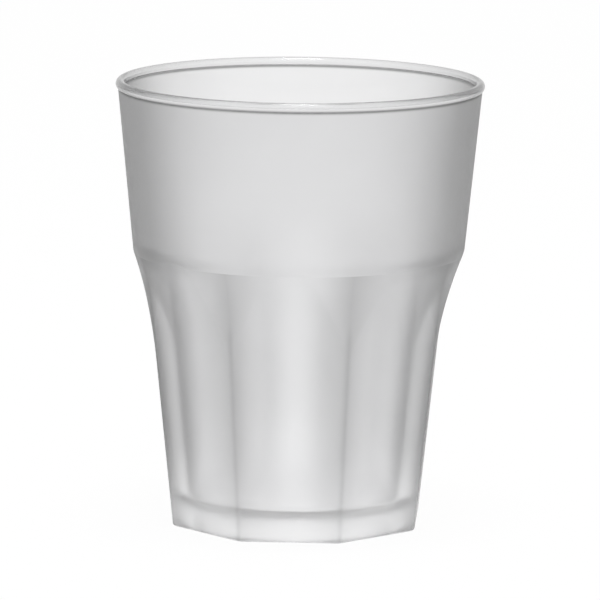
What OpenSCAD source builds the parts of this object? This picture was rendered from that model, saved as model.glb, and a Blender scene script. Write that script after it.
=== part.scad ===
// Frosted plastic tumbler, moulded in one piece: a round upper cup with a beaded
// lip, over a lower body with eight flats that sweep out to a shoulder line.
// Millimetres, +Z up, origin at the centre of the foot, with a flat facing -Y.

/* [Overall] */
// Height from the table to the top of the lip
height = 110; // [104:0.5:122]
// Diameter over the lip
rim_d = 90.7; // [87:0.1:96]

/* [Lip] */
// Diameter of the round bead that forms the lip
lip_d = 2.4; // [2.1:0.1:3.2]
// How far the bead stands out from the wall below it
lip_proud = 0.5; // [0.3:0.1:0.9]

/* [Upper cup] */
// Height of the shoulder line above the table
shoulder_h = 67.4; // [64:0.2:74]
// How far the shoulder line stands out past the lean of the flats
shoulder_out = 4.2; // [3.6:0.1:5.2]
// Wall thickness above the shoulder
upper_wall = 1.8; // [1.4:0.1:2.4]

/* [Lower body] */
// Number of flats round the lower body
flats = 8; // [8:1:12]
// Distance across opposite flats at the table
base_af = 59.6; // [56:0.2:61.2]
// Outward lean of the flats, in degrees from upright
flat_lean = 5.75; // [4.5:0.05:6.25]
// Height of the sweep at the middle of a flat, from its start up to the shoulder line
sweep_rise = 25.2; // [20:0.2:33]
// How far inside the shoulder line the middle of a flat passes
flat_inset = 0.3; // [0.2:0.05:0.6]
// Depth taken off the sharp corner between two flats
ridge_trim = 0.24; // [0.1:0.02:0.5]
// Height of the sweep over a ridge, from its start up to the shoulder line
ledge_rise = 11.8; // [8:0.2:16]

/* [Inside] */
// Wall thickness at the middle of a flat
flat_wall = 2.1; // [1.6:0.1:2.8]
// Height of the inner floor above the table
floor_h = 7.3; // [5.5:0.1:10]
// Thickness of the floor over the recess under it
floor_t = 1.3; // [1:0.1:2.6]
// Radius between the inner floor and the wall
floor_r = 2.4; // [1:0.1:5]

/* [Foot] */
// Radius of the edge that stands on the table
foot_r = 0.7; // [0.3:0.1:1.1]
// Width of the foot at the middle of a flat
foot_w = 2.8; // [2.4:0.1:4]
// Radius at the top of the recess
recess_r = 1.5; // [0.5:0.1:2]

/* [Hidden] */
$fn = 96;
// how far a cut runs past what it opens
over = 1;
// how far an arc runs past a line that it joins
lap = 0.002;

rim_r = rim_d / 2;
lip_h = height - lip_d / 2;
sweep_h = shoulder_h - sweep_rise;
ledge_h = shoulder_h - ledge_rise;
recess_h = floor_h - floor_t;

// Outward direction square to a line with this slope
function outward(slope) = [1, -slope] / sqrt(1 + slope * slope);
// Point at height h on a line that starts at radius r
function on_line(r, slope, h) = [r + slope * h, h];
// Radius of the arc that leaves a line at point a and passes through point p
function sweep_radius(a, slope, p) = (p - a) * (p - a) / (2 * (p - a) * outward(slope));
// The nearest hundredth of a millimetre
function hundredth(size) = round(100 * size) / 100;

// side of the body through the middle of a flat
flat_foot = base_af / 2;
flat_slope = tan(flat_lean);
shoulder_r = hundredth(on_line(flat_foot, flat_slope, shoulder_h)[0] + shoulder_out);
flat_start = on_line(flat_foot, flat_slope, sweep_h);
flat_sweep = sweep_radius(flat_start, flat_slope, [shoulder_r - flat_inset, shoulder_h]);
flat_centre = flat_start + outward(flat_slope) * flat_sweep;

// side of the body through a ridge, where two flats meet
corner = cos(180 / flats);
ridge_foot = flat_foot / corner - ridge_trim;
ridge_slope = flat_slope / corner;
ridge_start = on_line(ridge_foot, ridge_slope, ledge_h);
ridge_sweep = sweep_radius(ridge_start, ridge_slope, [shoulder_r, shoulder_h]);
ridge_centre = ridge_start + outward(ridge_slope) * ridge_sweep;

// side of the space inside, parallel to the flats
inner_foot = flat_foot - flat_wall * sqrt(1 + flat_slope * flat_slope);
inner_start = flat_start - flat_wall * outward(flat_slope);

// Half section from the axis to a side: lower lists its points up to the leaning
// line, which runs on to the point start and then sweeps out round centre. Above
// the sweep it runs out well past the lip.
module side_section(lower, start, centre, sweep, top) {
    reach = centre[0] + rim_r;
    difference() {
        polygon(concat(lower, [start, centre, [reach, centre[1]], [reach, top], [0, top]]));
        translate(centre) circle(r = sweep, $fn = 8 * $fn);
    }
}

// The same with the radius edge between its bottom, at height bottom, and its side.
// The arc crosses the side just past where it touches, which leaves no sliver.
module rounded_section(r, slope, start, centre, sweep, bottom, edge, top) {
    arc_h = bottom + edge + lap;
    arc_c = [on_line(r, slope, arc_h)[0] - edge * sqrt(1 + slope * slope), arc_h];
    side_section([[0, bottom], [arc_c[0], bottom], arc_c, arc_c + edge * outward(slope)],
                 start, centre, sweep, top);
    translate(arc_c) circle(r = edge + lap);
}

// Half section of the body through the middle of a flat
module flat_section() {
    rounded_section(flat_foot, flat_slope, flat_start, flat_centre, flat_sweep,
                    0, foot_r, height);
}

// Half section from the axis to the slant of the upper wall, which passes the
// shoulder at radius r_shoulder and the middle of the lip's bead at radius r_lip
module slant_section(r_shoulder, r_lip, bottom, top) {
    slope = (r_lip - r_shoulder) / (lip_h - shoulder_h);
    r = r_shoulder - slope * shoulder_h;
    polygon([[0, bottom], on_line(r, slope, bottom), on_line(r, slope, top), [0, top]]);
}

// Half section of the outside through a ridge, with its foot bevelled, up to the
// middle of the lip's bead
module outer_section() {
    bevel = foot_r / 2;
    intersection() {
        side_section([[0, 0], [ridge_foot - bevel, 0], on_line(ridge_foot, ridge_slope, bevel)],
                     ridge_start, ridge_centre, ridge_sweep, lip_h);
        slant_section(shoulder_r, rim_r - lip_proud, 0, lip_h);
    }
}

// Section of the bead that forms the lip
module lip_section() {
    translate([rim_r - lip_d / 2, lip_h]) circle(d = lip_d);
}

// Half section of the space inside, from the floor up past the lip
module cavity_section() {
    intersection() {
        rounded_section(inner_foot, flat_slope, inner_start, flat_centre,
                        flat_sweep + flat_wall, floor_h, floor_r, height + over);
        slant_section(shoulder_r - upper_wall, rim_r - lip_proud - upper_wall,
                      floor_h, height + over);
    }
}

// Half section of the recess under the floor
module recess_section() {
    r = flat_foot - foot_w;
    arc_c = [r - recess_r, recess_h - recess_r];
    polygon([[0, -over], [r, -over], [r, arc_c[1]], arc_c, [arc_c[0], recess_h], [0, recess_h]]);
    translate(arc_c) circle(r = recess_r);
}

// Everything outside one flat, the one that faces -Y
module flat_cut() {
    reach = 2 * shoulder_r;
    rotate([90, 0, -90])
        linear_extrude(height = reach, center = true)
            difference() {
                translate([flat_foot / 2, -over]) square([reach, shoulder_h + 10 * flat_inset]);
                flat_section();
            }
}

module tumbler() {
    color([0.85, 0.87, 0.88]) {
        difference() {
            rotate_extrude() outer_section();
            for (i = [0 : flats - 1])
                rotate([0, 0, 360 / flats * i]) flat_cut();
            rotate_extrude() cavity_section();
            rotate_extrude() recess_section();
        }
        rotate_extrude() lip_section();
    }
}

tumbler();
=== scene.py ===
# %% [markdown]
# A frosted plastic tumbler
#
# The real tumbler is moulded in one shot of clear plastic. Its outside is frosted up
# to the lip, and the lip and the inside are smooth. The upper cup is round, and the
# lower body has eight flats that sweep out to a shoulder line. It is one piece, so
# this lesson makes one mesh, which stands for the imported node, and puts its care into
# the outline, the wall and the finish.

# %% Load the frame
import math

import bmesh
import bpy
from mathutils import Matrix, Vector


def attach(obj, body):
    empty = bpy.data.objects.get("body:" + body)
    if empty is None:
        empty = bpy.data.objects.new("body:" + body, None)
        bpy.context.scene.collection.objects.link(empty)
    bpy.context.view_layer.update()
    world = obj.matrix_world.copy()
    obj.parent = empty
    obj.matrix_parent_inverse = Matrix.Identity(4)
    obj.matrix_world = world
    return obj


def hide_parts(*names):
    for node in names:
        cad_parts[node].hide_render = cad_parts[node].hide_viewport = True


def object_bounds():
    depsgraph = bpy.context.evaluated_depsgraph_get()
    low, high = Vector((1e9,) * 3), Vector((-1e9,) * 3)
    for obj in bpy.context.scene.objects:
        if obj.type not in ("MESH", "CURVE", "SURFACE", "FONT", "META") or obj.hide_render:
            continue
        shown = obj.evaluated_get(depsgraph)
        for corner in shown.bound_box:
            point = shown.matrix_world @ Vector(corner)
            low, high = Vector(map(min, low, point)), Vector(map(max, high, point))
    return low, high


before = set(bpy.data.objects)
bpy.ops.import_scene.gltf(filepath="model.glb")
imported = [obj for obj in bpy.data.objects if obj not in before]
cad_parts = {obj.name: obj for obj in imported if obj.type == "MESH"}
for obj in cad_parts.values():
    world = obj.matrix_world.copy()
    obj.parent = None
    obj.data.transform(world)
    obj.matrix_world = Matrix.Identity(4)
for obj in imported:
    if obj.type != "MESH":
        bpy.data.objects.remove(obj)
cad_low, cad_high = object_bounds()
print("nodes:", sorted(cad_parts), "box:", tuple(cad_low), tuple(cad_high))

# %% [markdown]
# The camera
#
# The photograph is taken from a little above the lip with a long lens, so the
# tumbler hardly tapers by perspective. The camera could be placed by eye, but a fit
# of the lip, the shoulder line and the foot's corners gives its angle, its distance
# and its slight tilt directly. It aims a hair beside the axis, which puts the tumbler
# where the photograph has it without any lens shift.

# %% Place the camera
mm = 0.001
picture_px = 600
focal_px = 5801.9
sensor_mm = 36.0
camera_turn = math.radians(3.24)
camera_rise = math.radians(9.59)
camera_tilt = math.radians(0.554)
camera_distance = 1433.5 * mm
look_at = Vector((0, 0, 55 * mm))
beside, above = 0.43 * mm, 0.04 * mm

camera = bpy.data.objects.new("camera", bpy.data.cameras.new("camera"))
bpy.context.collection.objects.link(camera)
camera.data.sensor_width = sensor_mm
camera.data.lens = focal_px / picture_px * sensor_mm
toward = Vector((
    math.sin(camera_turn) * math.cos(camera_rise),
    -math.cos(camera_turn) * math.cos(camera_rise),
    math.sin(camera_rise),
))
stand = look_at + toward * camera_distance
rough_turn = (-toward).to_track_quat("-Z", "Y").to_matrix()
aim = look_at + rough_turn.col[0] * beside + rough_turn.col[1] * above
turn = (aim - stand).to_track_quat("-Z", "Y").to_matrix().to_4x4()
camera.matrix_world = Matrix.Translation(stand) @ turn @ Matrix.Rotation(camera_tilt, 4, "Z")
bpy.context.scene.camera = camera
print("lens", round(camera.data.lens, 1), "mm, camera at", [round(x, 4) for x in stand])

# %% [markdown]
# The outline
#
# Every surface of the tumbler follows from a few sizes: a leaning line for the
# flats, an arc that sweeps each flat out to the shoulder, a shorter arc that does the
# same over the ridges, and one slanting line for the upper cup. The outline could be
# drawn as a long list of points, but lines and arcs as small functions of the height
# give any density of points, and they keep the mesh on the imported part's surface.

# %% Sizes of the tumbler
height = cad_high.z
rim_r = min(cad_high.x, cad_high.y, -cad_low.x, -cad_low.y)
lip_d, lip_proud, upper_wall = 2.4 * mm, 0.5 * mm, 1.8 * mm
flats, base_af, flat_lean = 8, 59.6 * mm, math.radians(5.75)
shoulder_h, shoulder_out = 67.4 * mm, 4.2 * mm
sweep_rise, flat_inset = 25.2 * mm, 0.3 * mm
ledge_rise, ridge_trim = 11.8 * mm, 0.24 * mm
flat_wall, floor_h, floor_t, floor_r = 2.1 * mm, 7.3 * mm, 1.3 * mm, 2.4 * mm
foot_r, foot_w, recess_r = 0.7 * mm, 2.8 * mm, 1.5 * mm

lip_h = height - lip_d / 2
half_flat = math.pi / flats
flat_slope = math.tan(flat_lean)
flat_foot = base_af / 2
shoulder_r = flat_foot + flat_slope * shoulder_h + shoulder_out
slant_slope = (rim_r - lip_proud - shoulder_r) / (lip_h - shoulder_h)
print("rim radius", round(rim_r / mm, 2), "shoulder radius", round(shoulder_r / mm, 2))

# %% Lines and arcs as functions of the height
def swept_line(foot, slope, start_h, end_r):
    """The radius at any height of a leaning line that sweeps out, from start_h up,
    along an arc that passes through end_r at the shoulder."""
    steep = math.hypot(1, slope)
    out, down = 1 / steep, -slope / steep
    start_r = foot + slope * start_h
    across, up = end_r - start_r, shoulder_h - start_h
    sweep = (across**2 + up**2) / (2 * (across * out + up * down))
    centre_r, centre_h = start_r + out * sweep, start_h + down * sweep

    def radius(h, inward=0.0):
        """The radius at height h, or that of the parallel surface inward of it."""
        if h < start_h - inward * down:
            return foot + slope * h - inward * steep
        return centre_r - math.sqrt((sweep + inward) ** 2 - (h - centre_h) ** 2)

    return radius


def slant(h, inward=0.0):
    """The radius of the upper cup's slanting wall at height h."""
    return shoulder_r - inward + slant_slope * (h - shoulder_h)


flat_side = swept_line(flat_foot, flat_slope, shoulder_h - sweep_rise, shoulder_r - flat_inset)
ridge_side = swept_line(
    flat_foot / math.cos(half_flat) - ridge_trim, flat_slope / math.cos(half_flat),
    shoulder_h - ledge_rise, shoulder_r,
)
for h in (0, 30 * mm, 60 * mm, shoulder_h):
    flat_mm, ridge_mm = round(flat_side(h) / mm, 2), round(ridge_side(h) / mm, 2)
    print("at", round(h / mm, 1), "flat", flat_mm, "ridge", ridge_mm)

# %% [markdown]
# The spun shell
#
# A mould for a round cup is turned on a lathe, and a spin does the same here: half of
# the section, from the middle of the recess under the floor, round the foot, up the
# outside, over the lip and down the inside to the middle of the floor, is turned once
# round the axis. Two shells with a Solidify modifier would be quicker, but they would
# give the wall one thickness, while the real wall is thicker behind the ridges.

# %% Rows of the outside
crease_band, crease_row = 1.8 * mm, 0.12 * mm
edge_band, edge_row = 1.2 * mm, 0.24 * mm
foot_row, sweep_row, cup_row, inner_row = 1.8 * mm, 0.7 * mm, 2.4 * mm, 1.2 * mm
crease_turn = math.acos((lip_d / 2 - lip_proud) / (lip_d / 2))
crease_h = lip_h - lip_d / 2 * math.sin(crease_turn)


def heights(low, high, step):
    """Even heights from low to high, both included, about step apart."""
    count = max(1, round((high - low) / step))
    return [low + (high - low) * i / count for i in range(count + 1)]


def outer_heights():
    """Heights for the rows of the outside, closest at the foot and at the shoulder."""
    rows = [foot_r * (1 - math.cos(math.radians(t))) for t in range(0, 90, 15)]
    rows += heights(foot_r, shoulder_h - sweep_rise, foot_row)
    rows += heights(shoulder_h - sweep_rise, shoulder_h - crease_band, sweep_row)[1:]
    rows += heights(shoulder_h - crease_band, shoulder_h + crease_band, crease_row)[1:]
    rows += heights(shoulder_h + crease_band, crease_h - edge_band, cup_row)[1:]
    return rows + heights(crease_h - edge_band, crease_h, edge_row)[1:]


print("rows of the outside:", len(outer_heights()))

# %% Points of the half section
bead_r = rim_r - lip_d / 2
inner_turn = math.acos((bead_r - slant(lip_h, upper_wall)) / (lip_d / 2))
recess_h = floor_h - floor_t
recess_side, recess_bevel = flat_foot - foot_w, 0.3 * mm
recess_top_r, rim_w = recess_side - recess_r, 4 * mm
floor_side = flat_side(floor_h + floor_r, flat_wall) - floor_r
recess_steps, bead_steps, floor_steps = 8, 26, 10


def arc(centre_r, centre_h, size, start, end, steps):
    """Points on an arc of the section, with start and end in degrees."""
    turns = [math.radians(start + (end - start) * i / steps) for i in range(steps + 1)]
    return [(centre_r + size * math.cos(t), centre_h + size * math.sin(t)) for t in turns]


def round_side(h):
    """The radius of the outside at height h, before the flats are cut."""
    return ridge_side(h) if h < shoulder_h else slant(h)


def inner_side(h):
    """The radius of the round inside at height h."""
    return min(flat_side(h, flat_wall), slant(h, upper_wall))


def half_section():
    """The half section, from the axis in the recess round to the axis on the floor."""
    under = [(0, recess_h), (recess_top_r - rim_w, recess_h)]
    under += arc(recess_top_r, recess_h - recess_r, recess_r, 90, 0, recess_steps)
    under += [(recess_side, recess_bevel), (recess_side + recess_bevel, 0)]
    outside = [(round_side(h), h) for h in outer_heights()]
    bead_start, bead_end = -math.degrees(crease_turn), 180 + math.degrees(inner_turn)
    bead = arc(bead_r, lip_h, lip_d / 2, bead_start, bead_end, bead_steps)
    inner_top = bead[-1][1]
    rows = heights(floor_h + floor_r, inner_top - edge_band, inner_row)
    rows += heights(inner_top - edge_band, inner_top, edge_row)[1:]
    inside = [(inner_side(h), h) for h in reversed(rows)]
    bottom = arc(floor_side, floor_h + floor_r, floor_r, 0, -90, floor_steps)
    bottom += [(floor_side / 2, floor_h), (0, floor_h)]
    return under + outside + bead[1:] + inside[1:] + bottom[1:]


section = half_section()
print("points in the half section:", len(section))

# %% Spin the section round the axis
columns = 384
same_place = 0.002 * mm


def spun_shell(points):
    """A closed bmesh of the points turned once round Z, starting on the -Y side."""
    bm = bmesh.new()
    verts = [bm.verts.new((0, -r, h)) for r, h in points]
    edges = [bm.edges.new(pair) for pair in zip(verts, verts[1:])]
    bmesh.ops.spin(
        bm, geom=verts + edges, cent=(0, 0, 0), axis=(0, 0, 1), angle=2 * math.pi,
        steps=columns, use_merge=True,
    )
    bmesh.ops.remove_doubles(bm, verts=bm.verts, dist=same_place)
    return bm


shell = spun_shell(section)
print("spun:", len(shell.verts), "vertices,", len(shell.faces), "faces")

# %% [markdown]
# The flats and the ridges
#
# On the real mould the flats are milled into the turned shape, and each leaves a
# narrow land along the ridge beside it. They could be cut with eight boolean
# cutters, but a cut leaves long thin faces. Here each vertex of the outside moves
# inward to the nearest of the three surfaces instead, and a small blend where two
# surfaces meet gives the soft edges of a moulded part. The columns first crowd
# towards the ridges, where the shape turns fastest.

# %% The outside with its flats
edge_blend = 0.16 * mm


def nearest(a, b, width):
    """The smaller of a and b, with the change from one to the other rounded."""
    mix = max(width - abs(a - b), 0) / width
    return min(a, b) - mix * mix * width / 4


def flat_at(h):
    """The distance of a flat from the axis at height h, with the foot's round edge."""
    if h >= foot_r:
        return flat_side(h)
    centre_r = flat_side(foot_r) - foot_r
    return centre_r + math.sqrt(foot_r**2 - (foot_r - h) ** 2)


def outside_at(h, turned):
    """The radius of the outside at height h, turned this far from a flat's middle."""
    if h > shoulder_h + crease_band:
        return slant(h)
    flat = flat_at(h) / math.cos(turned)
    land = ridge_side(h) - (flat_side(h) - flat_at(h))
    return nearest(nearest(flat, land, edge_blend), slant(h), edge_blend)


ridge_mm = round(outside_at(30 * mm, half_flat) / mm, 2)
print("30 mm up: flat", round(outside_at(30 * mm, 0) / mm, 2), "ridge", ridge_mm)

# %% Move the outside onto the flats
crowding = 0.4
axis_zone, skin_slack = 1 * mm, 0.02 * mm


def place(vert):
    """Crowds a vertex towards its ridge, and moves it onto the flats if it is outside."""
    r, h = math.hypot(vert.co.x, vert.co.y), vert.co.z
    if r < axis_zone:
        return
    around = math.atan2(vert.co.x, -vert.co.y)
    around += crowding * math.sin(flats * around) / flats
    turned = (around + half_flat) % (2 * half_flat) - half_flat
    if h < crease_h and r > round_side(h) - skin_slack:
        r = outside_at(h, turned)
    vert.co.x, vert.co.y = r * math.sin(around), -r * math.cos(around)


for vert in shell.verts:
    place(vert)
bmesh.ops.recalc_face_normals(shell, faces=shell.faces)
print("after the flats, volume", round(shell.calc_volume() / mm**3), "cubic millimetres")

# %% [markdown]
# One object with two finishes
#
# The lip is flame polished or moulded against a bright steel ring, and everything
# below it is frosted, so the faces of the bead take the second material. Two objects
# would need a seam between them, which the real tumbler doesn't have. The object
# keeps its place in its mesh and rides on the only body.

# %% Make the object
lip_slack = 0.09 * mm


def is_lip(face):
    """True for the faces of the polished bead."""
    middle = face.calc_center_median()
    inner_wall = slant(middle.z, upper_wall) - lip_slack
    return middle.z > crease_h and math.hypot(middle.x, middle.y) > inner_wall


for face in shell.faces:
    face.smooth = True
    face.material_index = 1 if is_lip(face) else 0
mesh = bpy.data.meshes.new("frosted_tumbler")
shell.to_mesh(mesh)
shell.free()
tumbler = bpy.data.objects.new("frosted_tumbler", mesh)
bpy.context.collection.objects.link(tumbler)
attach(tumbler, "root")
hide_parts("tumbler")
print("triangles:", sum(len(p.vertices) - 2 for p in mesh.polygons))

# %% [markdown]
# Painted shade and light from place to place
#
# The colour carries painted shade where two faces meet, along the ridges, under the
# lip and where the surface turns edge on. It carries painted light low down and in a
# bright spot near the foot of each flat. An image could be painted on it, but that
# needs an unwrapped map, and a pattern in space can't follow the ridges. Here each
# vertex carries three numbers that the shader reads: the painted shade and light, how
# much painted side shade it takes, and how strongly its skin is frosted.

# %% Smooth changes
half_wall = 0.9 * mm


def eased(value, low, high):
    """0 below low, 1 above high, and a smooth change between."""
    part = min(max((value - low) / (high - low), 0), 1)
    return part * part * (3 - 2 * part)


def blend(low, high, share):
    """A value between low and high."""
    return low + (high - low) * share


def bump_at(away, width):
    """1 at a place, falling smoothly to 0 a few widths away from it."""
    return math.exp(-((away / width) ** 2))


def is_outside(r, h):
    """True for points that lie less than half a wall in from the skin outside."""
    return r > min(flat_side(h), slant(h)) - half_wall


print("a quarter of the way:", eased(0.25, 0, 1), "one width away:", round(bump_at(1, 1), 2))

# %% Painted shade and light in the colour
# Painted tones: lighter at the base than on the body, darker towards the lip, and darker low on the
# bead.
bead_painted_shade, bead_top_painted_shade, lip_painted_shade = 0.7, 0.93, 0.88
shoulder_painted_shade, body_tone, base_painted_light = 0.925, 0.95, 1.0
base_zone, bead_zone = (9 * mm, 22 * mm), (crease_h, lip_h + 0.5 * mm)
# Painted shade on the crease, the ridges and the ridge lines, and a painted glow low on each flat.
crease_shade, crease_width, crease_drop = 0.7, 0.34 * mm, 0.15 * mm
ridge_shade, ridge_low, ridge_zone, ridge_foot = 0.25, 0.5, (6 * mm, 26 * mm), 9 * mm
line_shade, line_width, line_zone = 0.10, 0.05, (50 * mm, 56 * mm)
painted_glow_h, painted_glow_height, painted_glow_width = 11 * mm, 8 * mm, 0.4


def cup_painted_shade(r, h):
    """The painted shade of the upper cup and its lip, with a painted dark line under the bead."""
    # Painted shade, darker towards the lip, and on the bead darker low down.
    tone = blend(shoulder_painted_shade, lip_painted_shade, (h - shoulder_h) / (crease_h - shoulder_h))
    if h > crease_h:
        tone = blend(bead_painted_shade, bead_top_painted_shade, eased(h, *bead_zone))
    # Painted shade: a dark line along the crease under the bead.
    away = math.hypot(r - slant(crease_h), h - crease_h + crease_drop)
    return tone * (1 - crease_shade * bump_at(away, crease_width))


def painted_shade_and_light_at(r, h, turned):
    """How much light the colour lets pass: the tone with painted light low down, painted shade on the
    ridges and a painted glow.
    """
    if not is_outside(r, h):
        return 1.0
    if h > shoulder_h:
        return cup_painted_shade(r, h)
    # Painted light: the base is lighter than the body.
    tone = blend(base_painted_light, body_tone, eased(h, *base_zone))
    # Painted shade on the ridges, partly standing for the thicker plastic there.
    ridge = ridge_shade * turned**2 * blend(ridge_low, 1, eased(h, *ridge_zone))
    ridge *= eased(h, 0, ridge_foot)
    # Painted shade: thin dark lines along the ridges.
    line = line_shade * bump_at(1 - abs(turned), line_width) * (1 - eased(h, *line_zone))
    # Painted light: a bright spot low on the middle of each flat.
    glow = bump_at(turned, painted_glow_width) * bump_at(h - painted_glow_h, painted_glow_height)
    return blend(tone * (1 - ridge), 1.0, glow) * (1 - line)


for turned in (0, 0.5, 1):
    print("30 mm up, turned", turned, "painted_shade_and_light", round(painted_shade_and_light_at(flat_side(30 * mm), 30 * mm, turned), 3))

# %% Where the sides take painted shade, and how rough it is
body_side_shade, foot_side_shade = 0.75, 0.1
shoulder_zone = (shoulder_h - 4 * mm, shoulder_h)
foot_zone, floor_zone = (4 * mm, 12 * mm), (floor_h + 0.5 * mm, floor_h + 2 * floor_r)
skin_frost, ridge_frost, rim_frost = 0.5, 0.8, 0.88
frost_zone = (shoulder_h - 8 * mm, shoulder_h)
rim_low, rim_high, rim_inner = 0.5 * mm, recess_h + 0.1 * mm, recess_top_r - rim_w + 0.2 * mm


def side_shade_share(r, h, turned):
    """How much painted side shade a point takes: 1 on the upright walls, 0 on the floor and in the
    recess under it.
    """
    body = blend(body_side_shade, 1, eased(h, *shoulder_zone))
    if is_outside(r, h):
        return body * blend(foot_side_shade, 1, eased(h, *foot_zone))
    return body * eased(h, *floor_zone)


def frost_share(r, h, turned):
    """How rough the skin is, from 0 where it is smooth: inside and under the floor."""
    if is_outside(r, h):
        near_ridge = turned**4 * (1 - eased(h, *frost_zone))
        return blend(skin_frost, ridge_frost, near_ridge)
    return rim_frost if rim_low < h < rim_high and r > rim_inner else 0.0


def mark(name, rule):
    """Writes the rule's value for every vertex into an attribute of this name."""
    layer = mesh.attributes.new(name, "FLOAT", "POINT")
    for vert in mesh.vertices:
        around = math.atan2(vert.co.x, -vert.co.y)
        turned = ((around + half_flat) % (2 * half_flat) - half_flat) / half_flat
        layer.data[vert.index].value = rule(math.hypot(vert.co.x, vert.co.y), vert.co.z, turned)


# The painted shade and light, and where the sides take painted shade.
mark("painted_shade_and_light", painted_shade_and_light_at)
# The wall mark says where the sides take painted shade.
mark("wall", side_shade_share)
mark("frost", frost_share)
print("attributes:", [layer.name for layer in mesh.attributes])

# %% [markdown]
# The frosted plastic
#
# Frosted plastic is clear plastic with a fine rough skin. It passes nearly all the
# light and scatters it, so it looks white against a white room. A milky white paint
# would look dead, so the shader is a rough glass. Its colour takes the painted shade
# and light from the vertices, and a ramp on the angle of the surface paints shade at
# the sides, partly standing for the longer way through the wall there. Faint clouds in
# the colour, a grain in the roughness and a finer grain in the surface give the frost
# its uneven look.

# %% Helpers for colours
# The Mix node's sockets for colours share their names with those for numbers.
colour_a, colour_b, colour_out = 6, 7, 2


def new_material(name):
    """A material, its node tree and its Principled shader."""
    material = bpy.data.materials.new(name)
    material.use_nodes = True
    return material, material.node_tree, material.node_tree.nodes["Principled BSDF"]


def ramp_of(tree, value, stops, tint=(1, 1, 1)):
    """A ramp of one tint on the socket value, with its stops as (place, brightness)."""
    ramp = tree.nodes.new("ShaderNodeValToRGB")
    dots = ramp.color_ramp.elements
    while len(dots) < len(stops):
        dots.new(0.5)
    for dot, (place_at, grey) in zip(dots, sorted(stops)):
        dot.position = place_at
        dot.color = (grey * tint[0], grey * tint[1], grey * tint[2], 1)
    tree.links.new(value, ramp.inputs["Fac"])
    return ramp.outputs["Color"]


def times(tree, a, b):
    """Two colours multiplied."""
    mix = tree.nodes.new("ShaderNodeMix")
    mix.data_type, mix.blend_type = "RGBA", "MULTIPLY"
    mix.inputs["Factor"].default_value = 1.0
    tree.links.new(a, mix.inputs[colour_a])
    tree.links.new(b, mix.inputs[colour_b])
    return mix.outputs[colour_out]


print("helpers:", new_material.__name__, ramp_of.__name__, times.__name__)

# %% Helpers for numbers
def noise_of(tree, scale, detail=2.0):
    """Noise in the object's own space, with scale in turns a metre."""
    noise = tree.nodes.new("ShaderNodeTexNoise")
    where = tree.nodes.new("ShaderNodeTexCoord")
    noise.inputs["Scale"].default_value = scale
    noise.inputs["Detail"].default_value = detail
    tree.links.new(where.outputs["Object"], noise.inputs["Vector"])
    return noise.outputs["Fac"]


def maths(tree, operation, *values):
    """The result of a Math node on these sockets and plain numbers."""
    node = tree.nodes.new("ShaderNodeMath")
    node.operation = operation
    for socket, value in zip(node.inputs, values):
        if isinstance(value, bpy.types.NodeSocket):
            tree.links.new(value, socket)
        else:
            socket.default_value = value
    return node.outputs[0]


def mark_of(tree, name):
    """The value of one of the mesh's attributes."""
    attribute = tree.nodes.new("ShaderNodeAttribute")
    attribute.attribute_name = name
    return attribute.outputs["Fac"]


def squared_mark(tree, name):
    """The square of an attribute, since a glass tints by the root of its colour."""
    return maths(tree, "POWER", mark_of(tree, name), 2)


def facing_of(tree):
    """How far a surface turns away from the eye, from 0 head on to 1 edge on."""
    weight = tree.nodes.new("ShaderNodeLayerWeight")
    weight.inputs["Blend"].default_value = 0.5
    return weight.outputs["Facing"]


print("helpers:", noise_of.__name__, maths.__name__, mark_of.__name__, facing_of.__name__)

# %% Frosted body
plastic_ior = 1.45
plastic_tint = (0.996, 0.996, 1.0)
# Painted shade at the sides: brightness by how far the surface turns edge on.
painted_side_shades = [
    (0, 1), (0.11, 0.98), (0.28, 0.9), (0.41, 0.775),
    (0.54, 0.59), (0.67, 0.48), (0.78, 0.42), (1, 0.36),
]
cloud_scale, cloud_shades = 60, [(0.35, 0.98), (0.65, 1)]
smooth_skin, frost_scale, frost_grain = 0.08, 900, [(0.3, 0.72), (0.7, 0.84)]
grain_scale, grain_strength, grain_depth = 2600, 0.03, 0.05 * mm


def frosted_roughness(tree):
    """The roughness of the skin: smooth, or frosted as far as its mark says."""
    number_a, number_b = 2, 3
    skin = tree.nodes.new("ShaderNodeMix")
    skin.data_type = "FLOAT"
    tree.links.new(mark_of(tree, "frost"), skin.inputs[0])
    skin.inputs[number_a].default_value = smooth_skin
    tree.links.new(ramp_of(tree, noise_of(tree, frost_scale), frost_grain), skin.inputs[number_b])
    return skin.outputs[0]


def frosted_skin():
    """The frosted skin of the body."""
    material, tree, shader = new_material("frosted_skin")
    shader.inputs["Transmission Weight"].default_value = 1.0
    shader.inputs["IOR"].default_value = plastic_ior
    # Painted shade at the sides, where the wall mark lets it in.
    painted_side_shade = ramp_of(tree, maths(tree, "MULTIPLY", facing_of(tree), mark_of(tree, "wall")), painted_side_shades)
    clouds = ramp_of(tree, noise_of(tree, cloud_scale), cloud_shades, plastic_tint)
    # The colour: painted side shade, the painted shade and light of the vertices, and faint clouds.
    tint = times(tree, times(tree, painted_side_shade, squared_mark(tree, "painted_shade_and_light")), clouds)
    tree.links.new(tint, shader.inputs["Base Color"])
    tree.links.new(frosted_roughness(tree), shader.inputs["Roughness"])
    bump = tree.nodes.new("ShaderNodeBump")
    bump.inputs["Strength"].default_value = grain_strength
    bump.inputs["Distance"].default_value = grain_depth
    tree.links.new(noise_of(tree, grain_scale), bump.inputs["Height"])
    tree.links.new(bump.outputs["Normal"], shader.inputs["Normal"])
    return material


mesh.materials.append(frosted_skin())
print("material:", mesh.materials[0].name)

# %% [markdown]
# The polished lip
#
# The bead is the same plastic with a polished skin. It works as a small round lens,
# and the smoother glass on the true round section bends the room's light into bright
# and dark lines along its length. The dark line along the crease under the bead is
# painted shade, and a ramp on the angle of the surface paints shade on its ends, where
# the ring turns edge on, so they look grey.

# %% Polished lip
lip_rough = 0.13
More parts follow.
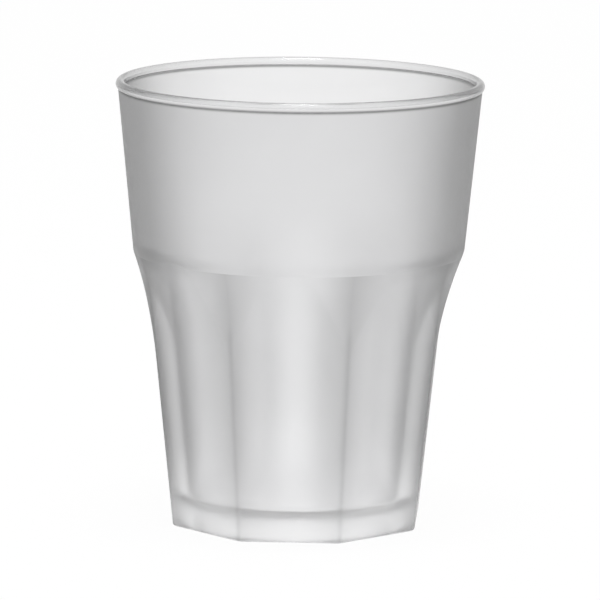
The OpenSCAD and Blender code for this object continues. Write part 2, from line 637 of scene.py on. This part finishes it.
# Painted shade on the bead where it turns edge on.
painted_lip_shades = [(0, 1), (0.2, 0.93), (0.4, 0.8), (0.6, 0.66), (1, 0.15)]


def polished_lip():
    """The smooth, glossy bead of the lip, with painted shade at its ends and under it."""
    material, tree, shader = new_material("polished_lip")
    shader.inputs["Transmission Weight"].default_value = 1.0
    shader.inputs["IOR"].default_value = plastic_ior
    shader.inputs["Roughness"].default_value = lip_rough
    # Painted shade at the bead's edge-on ends, and the painted shade of the vertices.
    painted_edge_shade = ramp_of(tree, facing_of(tree), painted_lip_shades, plastic_tint)
    tree.links.new(times(tree, painted_edge_shade, squared_mark(tree, "painted_shade_and_light")), shader.inputs["Base Color"])
    return material


mesh.materials.append(polished_lip())
print("material:", mesh.materials[1].name)

# %% [markdown]
# The room
#
# The photograph has a pure white background that the floor runs into. The world is
# that white for the camera, and for all other rays a room that is white behind and
# below, and a little greyer in front and overhead. A backdrop sheet would do as well
# from one side, but the room serves every view. The floor is pale, shows white to the
# camera and through the plastic, and keeps a faint shadow.

# %% Floor
floor_grey, floor_rough, floor_white = 0.85, 0.9, 0.96
floor_reach, floor_gap = 2.0, 0.05 * mm


def pale_floor():
    """A matt pale floor that shows as white and keeps a part of its shadow."""
    material, tree, shader = new_material("pale_floor")
    shader.inputs["Base Color"].default_value = (floor_grey, floor_grey, floor_grey, 1)
    shader.inputs["Roughness"].default_value = floor_rough
    path = tree.nodes.new("ShaderNodeLightPath").outputs
    seen = maths(tree, "MAXIMUM", path["Is Camera Ray"], path["Is Transmission Ray"])
    seen = maths(tree, "MAXIMUM", seen, path["Is Glossy Ray"])
    glow = tree.nodes.new("ShaderNodeEmission")
    mix = tree.nodes.new("ShaderNodeMixShader")
    tree.links.new(maths(tree, "MULTIPLY", seen, floor_white), mix.inputs[0])
    tree.links.new(shader.outputs[0], mix.inputs[1])
    tree.links.new(glow.outputs[0], mix.inputs[2])
    tree.links.new(mix.outputs[0], tree.nodes["Material Output"].inputs["Surface"])
    return material


ground = bmesh.new()
bmesh.ops.create_grid(ground, x_segments=1, y_segments=1, size=floor_reach)
bmesh.ops.translate(ground, verts=ground.verts, vec=(0, 0, -floor_gap))
floor_mesh = bpy.data.meshes.new("floor")
ground.to_mesh(floor_mesh)
ground.free()
floor_mesh.materials.append(pale_floor())
floor = bpy.data.objects.new("floor", floor_mesh)
bpy.context.collection.objects.link(floor)
print("floor:", tuple(floor.dimensions))

# %% White room
white = (1, 1, 1, 1)
front_to_back = [(0, 0.9), (0.5, 0.95), (0.75, 1)]
low_to_high = [(0, 1), (0.6, 1), (0.9, 0.9)]


def white_room():
    """A world that is white to the camera, and for other rays by direction."""
    world = bpy.data.worlds.new("white_room")
    world.use_nodes = True
    tree = world.node_tree
    where = tree.nodes.new("ShaderNodeTexCoord")
    split = tree.nodes.new("ShaderNodeSeparateXYZ")
    tree.links.new(where.outputs["Generated"], split.inputs[0])
    depth = maths(tree, "MULTIPLY_ADD", split.outputs["Y"], 0.5, 0.5)
    rise = maths(tree, "MULTIPLY_ADD", split.outputs["Z"], 0.5, 0.5)
    room = times(tree, ramp_of(tree, depth, front_to_back), ramp_of(tree, rise, low_to_high))
    path = tree.nodes.new("ShaderNodeLightPath")
    mix = tree.nodes.new("ShaderNodeMix")
    mix.data_type = "RGBA"
    tree.links.new(path.outputs["Is Camera Ray"], mix.inputs["Factor"])
    tree.links.new(room, mix.inputs[colour_a])
    mix.inputs[colour_b].default_value = white
    tree.links.new(mix.outputs[colour_out], tree.nodes["Background"].inputs["Color"])
    return world


bpy.context.scene.world = white_room()
print("world:", bpy.context.scene.world.name)

# %% [markdown]
# The lamps
#
# The room gives nearly all the light. One soft lamp in front lifts the near side, and
# a second, narrow one overhead draws the short highlight on the middle of the lip.
# Brighter lamps would only clip the white plastic, so both stay weak.

# %% Soft lamps
def soft_lamp(name, at, size, power):
    """A soft lamp of this width and height at a point, aimed at the tumbler."""
    lamp = bpy.data.objects.new(name, bpy.data.lights.new(name, "AREA"))
    lamp.data.shape = "RECTANGLE"
    lamp.data.size, lamp.data.size_y = size
    lamp.data.energy = power
    lamp.location = at
    lamp.rotation_euler = (look_at - Vector(at)).to_track_quat("-Z", "Y").to_euler()
    bpy.context.collection.objects.link(lamp)
    return lamp


soft_lamp("front_lamp", at=(0.1, -0.7, 0.9), size=(0.5, 0.5), power=1.5)
soft_lamp("top_lamp", at=(0.0, -0.1, 1.2), size=(0.3, 0.1), power=4.5)

bpy.context.scene.view_settings.view_transform = "Standard"
